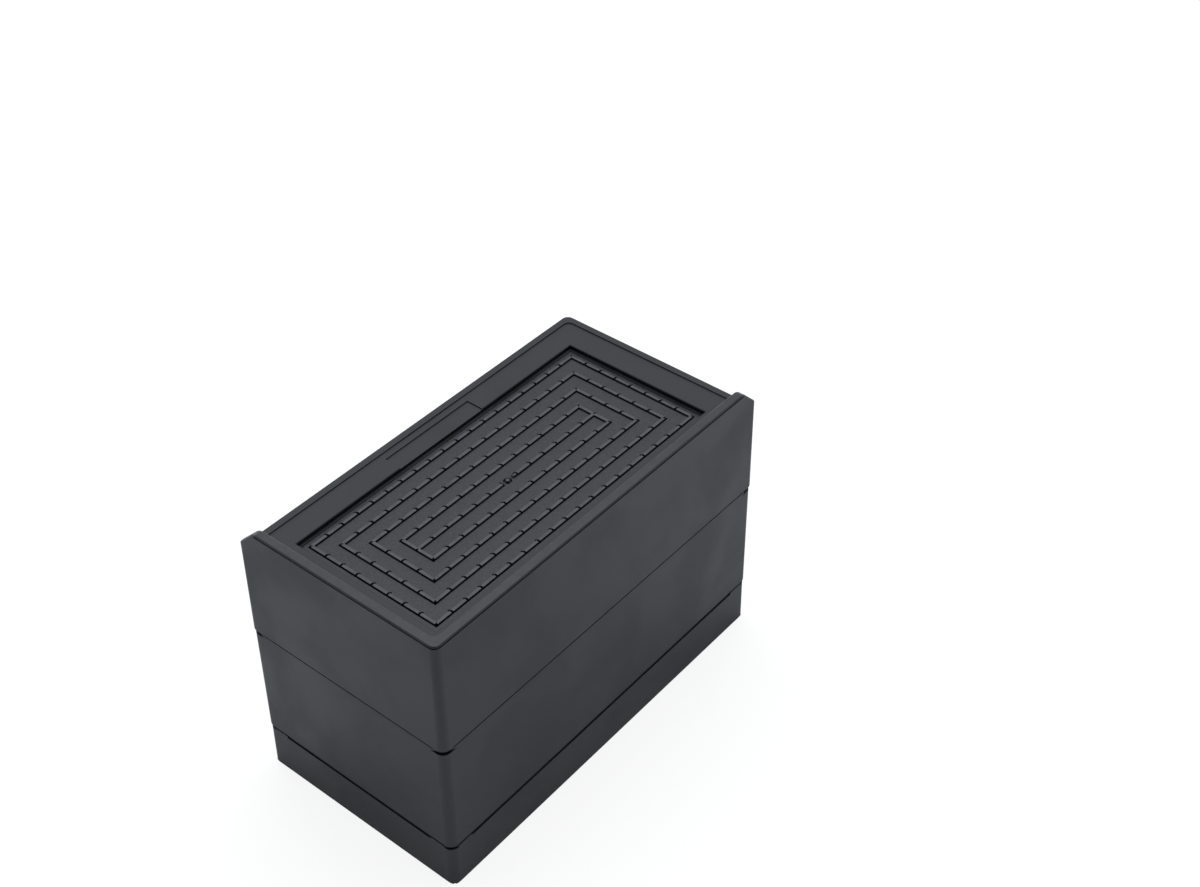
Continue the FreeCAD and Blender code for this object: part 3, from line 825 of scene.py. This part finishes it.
@dataclass
class TopTray:
    """The upper moulding, with the lip, the rim and the sunk ridged tread."""

    footprint: Footprint = field(default_factory=Footprint)
    foot: float = 97.0
    edge_width: float = 0.45
    edge_steps: int = 3
    half_recess: tuple[float, float] = (100.0, 45.0)
    pitch: float = 10.0
    tread_floor: float = 146.0
    ridge_height: float = 0.8
    ridge_width: float = 1.7
    ridge_round: float = 0.16
    ridge_steps: int = 2
    ridge_shave: float = 0.05
    slit_width: float = 1.15
    slit_near: float = 0.55
    slit_far: float = 1.2
    slit_depth: float = 1.9
    corner_pit: float = 1.5
    pit_shift: float = 0.525
    groove_width: float = 0.5
    groove_depth: float = 0.85
    # Keeps each cut off the faces of the last one, because shared faces leave slivers.
    clear: float = 0.03
    gap: tuple[float, float] = (-4.6, 1.8)
    wall_groove: float = 1.4
    wall_groove_top: float = 148.2
    wall_shave: float = 0.05
    lip_line: tuple[float, float] = (163.3, 164.15)
    lip_line_half: tuple[float, float] = (118.2, 62.2)
    lip_line_round: float = 5.0
    sink_floor: float = 145.5
    sink_drop: float = 0.8
    sink: tuple[float, float, float] = (-1.5, 0.0, 2.6)
    lip_top: float = 165.0

    def rings(self) -> list[tuple[float, float]]:
        """Half length and half width of each nested rectangle of ridges, from the outermost."""
        count = int(self.half_recess[1] / self.pitch - 0.5)
        steps = [self.pitch * (turn + 0.5) for turn in range(count)]
        return [(self.half_recess[0] - step, self.half_recess[1] - step) for step in steps]

    def row(self, half_side: float) -> list[float]:
        """Places of the slits along one side of a ridge rectangle."""
        count = round(half_side * 2.0 / self.pitch) - 1
        return [self.pitch * (turn - (count - 1) / 2.0) for turn in range(count)]

    def slit_areas(self) -> list[Area]:
        """Outlines of the slits on the tread, and of the pits at the corners of its ridges.

        Returns:
            For each one its lowest x, highest x, lowest y and highest y.
        """
        near = self.ridge_width / 2.0 + self.slit_near
        far = self.ridge_width / 2.0 + self.slit_far
        half = self.slit_width / 2.0
        pit = self.corner_pit / 2.0
        areas = []
        for half_x, half_y in self.rings():
            for side in (-1.0, 1.0):
                y = side * half_y
                areas += [(x - half, x + half, y - near, y + far) for x in self.row(half_x)]
                inner = (half_x, half_y) == self.rings()[-1]
                low = self.clear if inner and side > 0.0 else near
                high = self.clear if inner and side < 0.0 else far
                x = side * half_x
                areas += [(x - low, x + high, y - half, y + half) for y in self.row(half_y)]
                for end in (-1.0, 1.0):
                    x, y = side * (half_x + self.pit_shift), end * (half_y + self.pit_shift)
                    areas.append((x - pit, x + pit, y - pit, y + pit))
        areas += [(x - half, x + half, -near, far) for x in self.row(self.rings()[-1][0])]
        return areas

    def grooves_along_x(self) -> list[Area]:
        """Outlines of the fine grooves at both feet of the ridges that run along X."""
        near = self.ridge_width / 2.0 - self.ridge_shave
        far = self.ridge_width / 2.0 + self.groove_width
        areas = []
        for side in (-1.0, 1.0):
            for half_x, half_y in self.rings():
                low, high = sorted((side * (half_y + near), side * (half_y + far)))
                areas.append((-half_x - far - self.clear, half_x + far + self.clear, low, high))
                low, high = sorted((side * (half_y - near), side * (half_y - far)))
                areas.append((near + self.clear - half_x, half_x - near - self.clear, low, high))
            low, high = sorted((side * near, side * far))
            areas.append((near + self.clear - half_x, self.gap[0], low, high))
            areas.append((self.gap[1], half_x - near - self.clear, low, high))
        return areas

    def grooves_along_y(self) -> list[Area]:
        """Outlines of the fine grooves at both feet of the ridges that run along Y."""
        near = self.ridge_width / 2.0 - self.ridge_shave
        far = self.ridge_width / 2.0 + self.groove_width
        areas = []
        for side in (-1.0, 1.0):
            for half_x, half_y in self.rings():
                low, high = sorted((side * (half_x + near), side * (half_x + far)))
                areas.append((low, high, -half_y - far - self.clear, half_y + far + self.clear))
                low, high = sorted((side * (half_x - near), side * (half_x - far)))
                if (half_x, half_y) == self.rings()[-1]:
                    areas.append((low, high, near + self.clear, half_y - near - self.clear))
                    areas.append((low, high, near + self.clear - half_y, -near - self.clear))
                else:
                    areas.append((low, high, near + self.clear - half_y, half_y - near - self.clear))
        return areas

    def cut(
        self, work: Workpiece, areas: list[Area], depth_mm: float, top_mm: float | None = None
    ) -> None:
        """Cut rectangles down into the floor of the tread, through any ridge.

        Args:
            work: The tray.
            areas: Outlines of the rectangles, which don't touch each other.
            depth_mm: How far below the floor they go.
            top_mm: Height where they start; above the ridges if none is given.
        """
        top = self.tread_floor + self.ridge_height + 1.0 if top_mm is None else top_mm
        boxes = [block(area, self.tread_floor - depth_mm, top) for area in areas]
        for box in boxes:
            box.select_set(True)
        bpy.context.view_layer.objects.active = boxes[0]
        bpy.ops.object.join()
        tool = bpy.context.active_object
        work.apply("BOOLEAN", "cut", {"operation": "DIFFERENCE", "solver": "EXACT", "object": tool})
        bpy.data.objects.remove(tool)
        LOG.info("%s: %d rectangles cut", work.piece.name, len(areas))

    def cut_recess_grooves(self, work: Workpiece) -> None:
        """Cut a shadow groove into the foot of each wall of the recess."""
        half_x, half_y = self.half_recess
        end = half_x + self.wall_groove
        for side in (-1.0, 1.0):
            low, high = sorted((side * (half_y - self.wall_shave), side * (half_y + self.wall_groove)))
            self.cut(work, [(-end, end, low, high)], 0.0, self.wall_groove_top)
            low, high = sorted((side * (half_x - self.wall_shave), side * end))
            self.cut(work, [(low, high, -half_y, half_y)], 0.0, self.wall_groove_top)

    def deepen_gate(self, work: Workpiece) -> None:
        """Sink the ring round the gate mark deeper, so that it shows as a dark ring."""
        x, y, reach = self.sink
        work.lift(
            lambda place: at_level(place, self.sink_floor)
            and math.hypot(place.x - x * MM, place.y - y * MM) < reach * MM,
            -self.sink_drop,
        )

    def painted_highlight_amount(self, face: bpy.types.MeshPolygon) -> float:
        """How much painted highlight a face gets: the tops of the ridges, and the top and inner edges of
        the lip.
        """
        place = face.center / MM
        ridge_top = self.tread_floor + self.ridge_height
        inside = abs(place.x) < self.half_recess[0] - 2.0 and abs(place.y) < self.half_recess[1] - 2.0
        if inside and abs(place.z - ridge_top) < self.ridge_round + SLACK_MM and face.normal.z > 0.3:
            return 1.0
        rounded = 0.2 < face.normal.z < 0.97
        if place.z > self.lip_top - 1.5 and rounded and max(face.normal.x, face.normal.y) > 0.2:
            return 1.0
        if place.z > self.lip_top - 0.5 and face.normal.z > 0.97:
            return 0.3
        return 0.0

    def sparked(self, face: bpy.types.MeshPolygon) -> float:
        """1 for a face of the tread's floor."""
        place = face.center / MM
        inside = abs(place.x) < self.half_recess[0] - 1.0 and abs(place.y) < self.half_recess[1] - 1.0
        return 1.0 if inside and abs(place.z - self.tread_floor) < 0.1 and face.normal.z > 0.9 else 0.0

    def is_ridge_top(self, edge: bmesh.types.BMEdge) -> bool:
        """True for an edge round the top of a tread ridge."""
        return is_sharp(edge) and at_height(edge, self.tread_floor + self.ridge_height)

    def build(self, node: bpy.types.Object) -> bpy.types.Object:
        """Finish the top tray.

        Args:
            node: Its CAD node.

        Returns:
            The finished piece.
        """
        work = Workpiece.from_node(node, "tray_moulding")
        self.deepen_gate(work)
        self.cut(work, self.slit_areas(), self.slit_depth)
        self.cut(work, self.grooves_along_x(), self.groove_depth)
        self.cut(work, self.grooves_along_y(), self.groove_depth + self.clear)
        self.cut_recess_grooves(work)
        work.trim(self.lip_line, self.lip_line_half, self.lip_line_round)
        work.flatten()
        work.round_edges(
            lambda edge: is_sharp(edge) and at_height(edge, self.foot) and self.footprint.on_outside(edge),
            self.edge_width,
            self.edge_steps,
        )
        work.round_edges(self.is_ridge_top, self.ridge_round, self.ridge_steps)
        # Mark the faces that get the painted highlight.
        work.mark(PAINTED_HIGHLIGHT, self.painted_highlight_amount)
        work.mark(SPARKED, self.sparked)
        work.shade()
        return work.piece


@dataclass
class Studio:
    """Camera, floor and lamps."""

    position: tuple[float, float, float] = (-0.48326, -0.45153, 0.72119)
    right: tuple[float, float, float] = (0.63168, -0.77523, -0.00083)
    forward: tuple[float, float, float] = (0.59415, 0.48482, -0.64182)
    focal_pixels: float = 1785.0
    floor_half: float = 6.0
    floor_drop: float = 0.00005
    aim_height: float = 0.09
    sky: float = 0.8
    sky_dim: float = 0.12
    dim_side: tuple[float, float, float] = (-0.78, -0.62, 0.0)
    lamps: tuple[tuple[str, tuple[float, float, float], tuple[float, float], float], ...] = (
        ("lamp_above", (0.25, 0.2, 1.5), (1.2, 1.2), 9.0),
    )

    def add_camera(self) -> None:
        """Place the camera at the photograph's viewpoint."""
        data = bpy.data.cameras.new("camera")
        data.sensor_width = SENSOR_MM
        data.lens = SENSOR_MM * self.focal_pixels / IMAGE_SIZE[0]
        data.clip_start = 0.01
        data.clip_end = 60.0
        camera = bpy.data.objects.new("camera", data)
        bpy.context.scene.collection.objects.link(camera)
        forward = Vector(self.forward).normalized()
        across = Vector(self.right).normalized()
        up = across.cross(forward).normalized()
        across = forward.cross(up)
        turn = Matrix((across, up, -forward)).transposed()
        camera.matrix_world = Matrix.Translation(self.position) @ turn.to_4x4()
        bpy.context.scene.camera = camera

    def add_floor(self) -> None:
        """Lay the floor under the riser."""
        deselect_all()
        bpy.ops.mesh.primitive_plane_add(size=self.floor_half * 2.0, location=(0.0, 0.0, -self.floor_drop))
        floor = bpy.context.active_object
        floor.name = "floor"
        floor.data.materials.append(PaleFloor().build())

    def add_lamp(
        self, name: str, place: tuple[float, float, float], size: tuple[float, float], watts: float
    ) -> None:
        """Hang a soft lamp that points at the riser.

        Args:
            name: Name of the lamp.
            place: Where it hangs, in metres.
            size: Its width and height, in metres.
            watts: Its power.
        """
        data = bpy.data.lights.new(name, "AREA")
        data.shape = "RECTANGLE"
        data.size, data.size_y = size
        data.energy = watts
        data.color = linear(STUDIO_WHITE)[:3]
        lamp = bpy.data.objects.new(name, data)
        lamp.location = place
        aim = Vector((0.0, 0.0, self.aim_height)) - Vector(place)
        lamp.rotation_mode = "QUATERNION"
        lamp.rotation_quaternion = aim.to_track_quat("-Z", "Y")
        bpy.context.scene.collection.objects.link(lamp)

    def add_sky(self) -> None:
        """Set a pale surround, dim behind the camera and white where the camera sees it."""
        world = bpy.data.worlds.new("studio")
        bpy.context.scene.world = world
        world.use_nodes = True
        tree = world.node_tree
        tree.nodes.clear()
        direction = add_node(tree, "ShaderNodeTexCoord").outputs["Generated"]
        towards = add_node(
            tree,
            "ShaderNodeVectorMath",
            settings={"operation": "DOT_PRODUCT"},
            values={1: self.dim_side},
            links={0: direction},
        )
        level = add_node(
            tree,
            "ShaderNodeMapRange",
            settings={"interpolation_type": "SMOOTHSTEP"},
            values={"From Min": -0.3, "From Max": 0.75, "To Min": self.sky, "To Max": self.sky_dim},
            links={"Value": towards.outputs["Value"]},
        )
        soft = add_node(
            tree,
            "ShaderNodeBackground",
            values={"Color": linear(STUDIO_WHITE)},
            links={"Strength": level.outputs["Result"]},
        )
        white = add_node(
            tree,
            "ShaderNodeBackground",
            values={"Color": linear("#ffffff"), "Strength": 1.0},
        )
        path = add_node(tree, "ShaderNodeLightPath")
        both = add_node(
            tree,
            "ShaderNodeMixShader",
            links={
                0: path.outputs["Is Camera Ray"],
                1: soft.outputs["Background"],
                2: white.outputs["Background"],
            },
        )
        add_node(tree, "ShaderNodeOutputWorld", links={"Surface": both.outputs["Shader"]})

    def build(self) -> None:
        """Set up the whole studio."""
        bpy.context.scene.view_settings.view_transform = "Standard"
        self.add_camera()
        self.add_floor()
        self.add_sky()
        for name, place, size, watts in self.lamps:
            self.add_lamp(name, place, size, watts)


@dataclass
class BedRiser:
    """The whole riser: its three mouldings and their finish."""

    nodes: dict[str, bpy.types.Object]

    def dress(self, piece: bpy.types.Object, node: str, finish: bpy.types.Material) -> None:
        """Give a finished piece its plastic, and let it stand for its CAD node.

        Args:
            piece: The finished piece.
            node: Name of the CAD node that it replaces.
            finish: The plastic.
        """
        piece.data.materials.append(finish)
        self.nodes[node].data.materials.clear()
        self.nodes[node].data.materials.append(finish)
        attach(piece, Body.ROOT.value)
        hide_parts(node)
        LOG.info("%s: %d faces", piece.name, len(piece.data.polygons))

    def build(self) -> None:
        """Build and dress every moulding."""
        block_plastic = MouldedPolypropylene("block_polypropylene").build()
        tray_plastic = MouldedPolypropylene("tray_polypropylene").build()
        self.dress(BaseBlock().build(self.nodes["base_block"]), "base_block", block_plastic)
        self.dress(MiddleBlock().build(self.nodes["middle_block"]), "middle_block", block_plastic)
        self.dress(TopTray().build(self.nodes["top_tray"]), "top_tray", tray_plastic)


def main() -> None:
    """Build the riser and its studio."""
    logging.basicConfig(level=logging.INFO, format="%(name)s %(message)s")
    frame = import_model()
    BedRiser(frame["nodes"]).build()
    Studio().build()
    bpy.context.view_layer.update()


if __name__ == "__main__":
    main()
